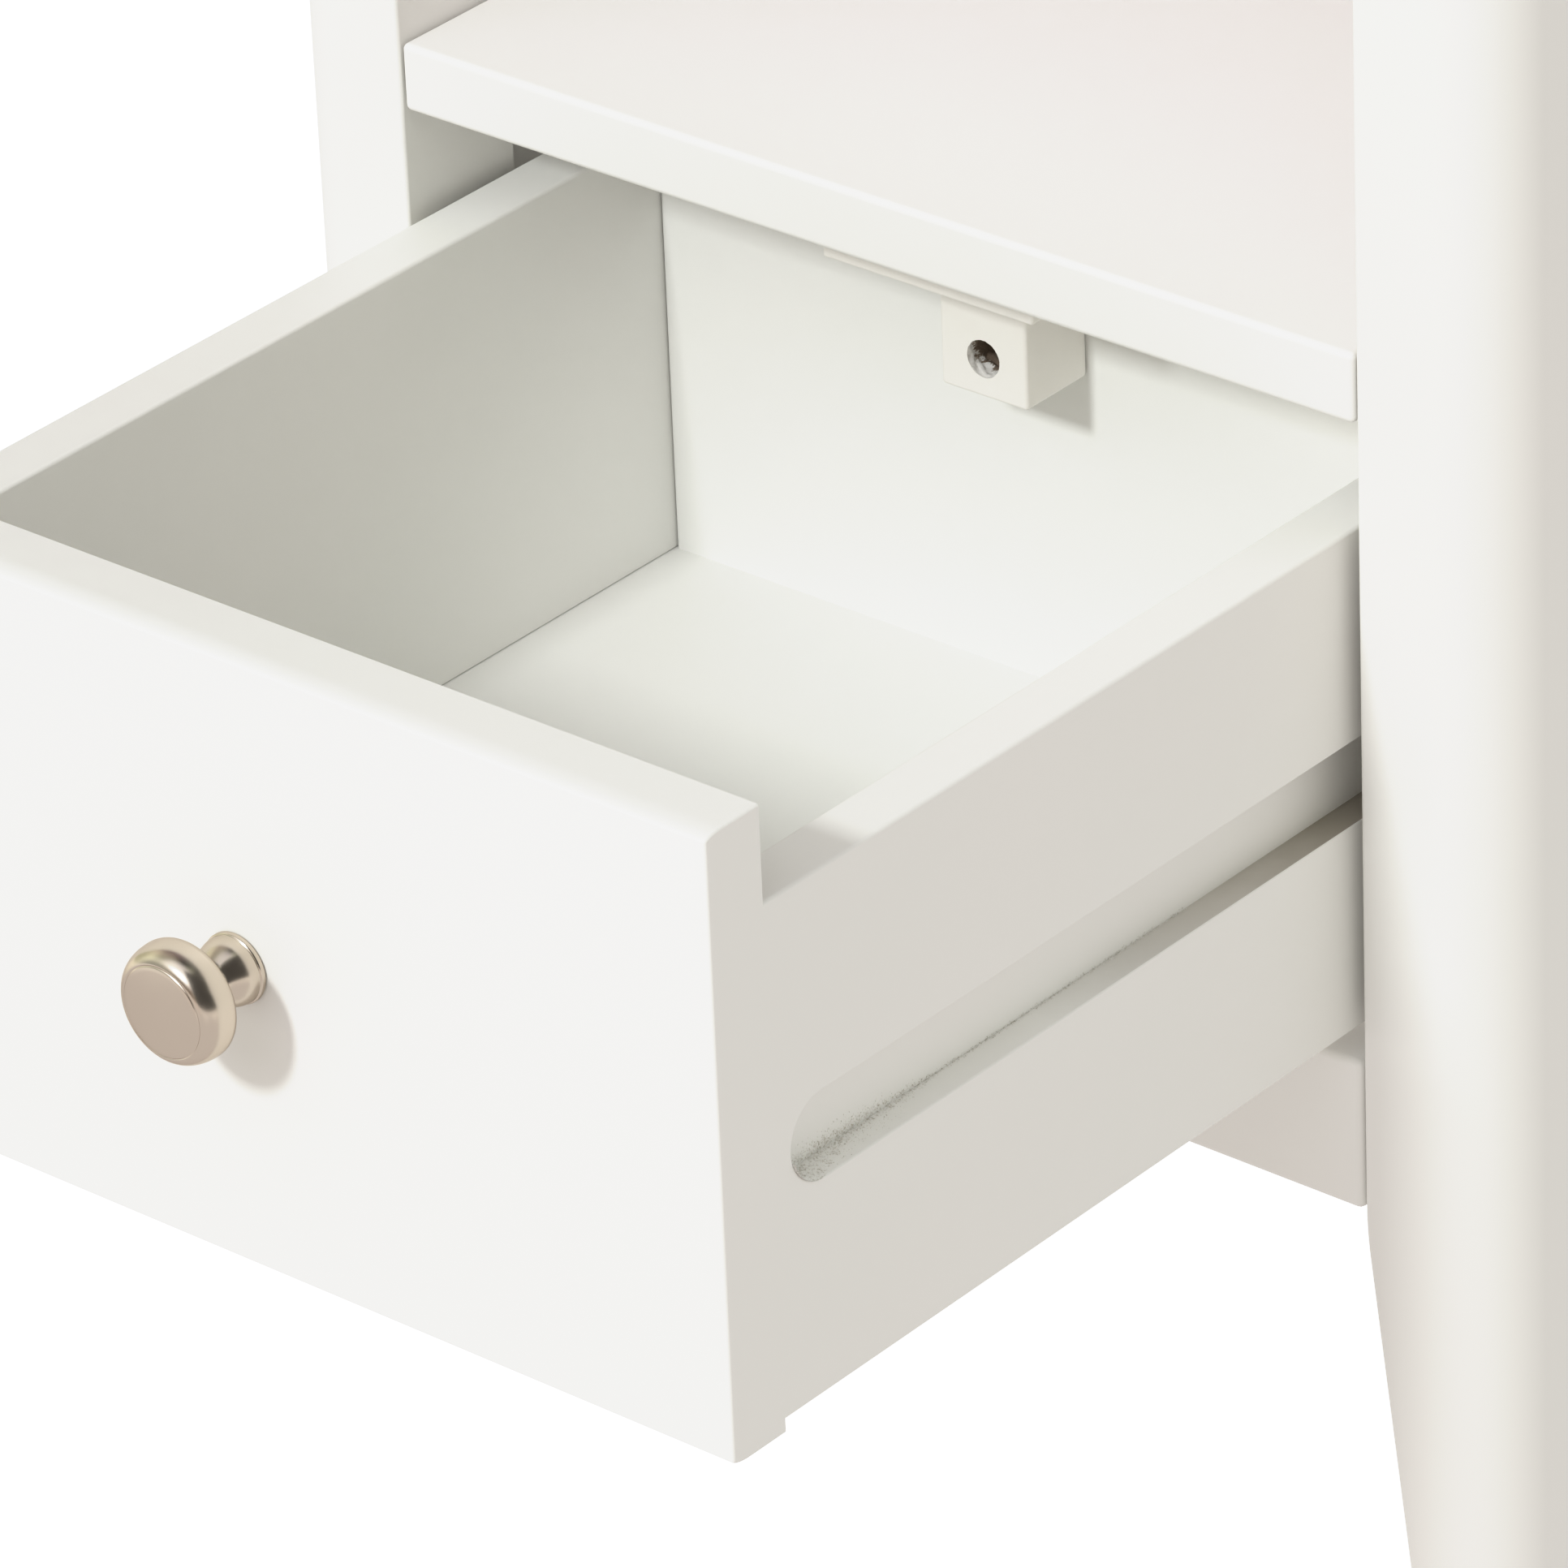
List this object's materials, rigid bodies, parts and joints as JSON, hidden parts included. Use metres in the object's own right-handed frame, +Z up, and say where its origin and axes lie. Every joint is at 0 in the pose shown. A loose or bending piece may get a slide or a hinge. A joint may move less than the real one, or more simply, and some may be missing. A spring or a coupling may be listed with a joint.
{
  "type": "bedside table",
  "caption": "White painted bedside table on tapered legs, with an open shelf above a drawer that has a round knob and runs on wooden runners, shown pulled out.",
  "frame": {"origin": "on the floor, at the middle of the width and of the depth with the drawer pulled out as stored", "axes": "+Z up, -Y towards the drawer's knob, +X to the right of a person who faces the drawer"},
  "size_m": [0.386, 0.6036, 0.55],
  "materials": {
    "white_paint": "satin sprayed paint on board",
    "satin_nickel": "satin plated",
    "zinc_steel": "zinc plated",
    "beech": "bare wood",
    "white_plastic": "moulded"
  },
  "bodies": {
    "body": {"back_panel": "white_paint", "batten_screw_left": "zinc_steel", "batten_screw_right": "zinc_steel", "drawer_runner_left": "white_paint", "drawer_runner_right": "white_paint", "foot_glide_front_left": "white_plastic", "foot_glide_front_right": "white_plastic", "foot_glide_rear_left": "white_plastic", "foot_glide_rear_right": "white_plastic", "front_rail": "white_paint", "front_rail_dowel_left_1": "beech", "front_rail_dowel_left_2": "beech", "front_rail_dowel_right_1": "beech", "front_rail_dowel_right_2": "beech", "leg_front_left": "white_paint", "leg_front_right": "white_paint", "leg_rear_left": "white_paint", "leg_rear_right": "white_paint", "rear_rail": "white_paint", "rear_rail_dowel_left_1": "beech", "rear_rail_dowel_right_1": "beech", "runner_screw_front_left": "zinc_steel", "runner_screw_front_right": "zinc_steel", "runner_screw_rear_left": "zinc_steel", "runner_screw_rear_right": "zinc_steel", "shelf": "white_paint", "shelf_dowel_front_left": "beech", "shelf_dowel_front_right": "beech", "shelf_dowel_rear_left": "beech", "shelf_dowel_rear_right": "beech", "side_panel_left": "white_paint", "side_panel_right": "white_paint", "stop_batten": "white_paint", "top_cleat_left": "white_paint", "top_cleat_right": "white_paint", "top_panel": "white_paint", "top_screw_front_left": "zinc_steel", "top_screw_front_right": "zinc_steel", "top_screw_rear_left": "zinc_steel", "top_screw_rear_right": "zinc_steel"},
    "drawer": {"drawer_back": "white_paint", "drawer_back_screw_left_1": "zinc_steel", "drawer_back_screw_left_2": "zinc_steel", "drawer_back_screw_right_1": "zinc_steel", "drawer_back_screw_right_2": "zinc_steel", "drawer_bottom": "white_paint", "drawer_dowel_left_1": "beech", "drawer_dowel_left_2": "beech", "drawer_dowel_right_1": "beech", "drawer_dowel_right_2": "beech", "drawer_front": "white_paint", "drawer_side_left": "white_paint", "drawer_side_right": "white_paint", "knob": "satin_nickel", "knob_screw": "zinc_steel", "stop_screw": "zinc_steel"},
    "stop": {"stop_block": "white_paint"}
  },
  "joints": [
    {"name": "drawer_slide", "type": "slide", "parent": "body", "child": "drawer", "axis": [0, -1, 0], "range_m": [-0.227, 0]},
    {"name": "stop_turn", "type": "hinge", "parent": "drawer", "child": "stop", "pos_m": [-0.004, 0.0105, 0.3034], "axis": [0, 1, 0], "range_deg": [-90, 90]}
  ]
}
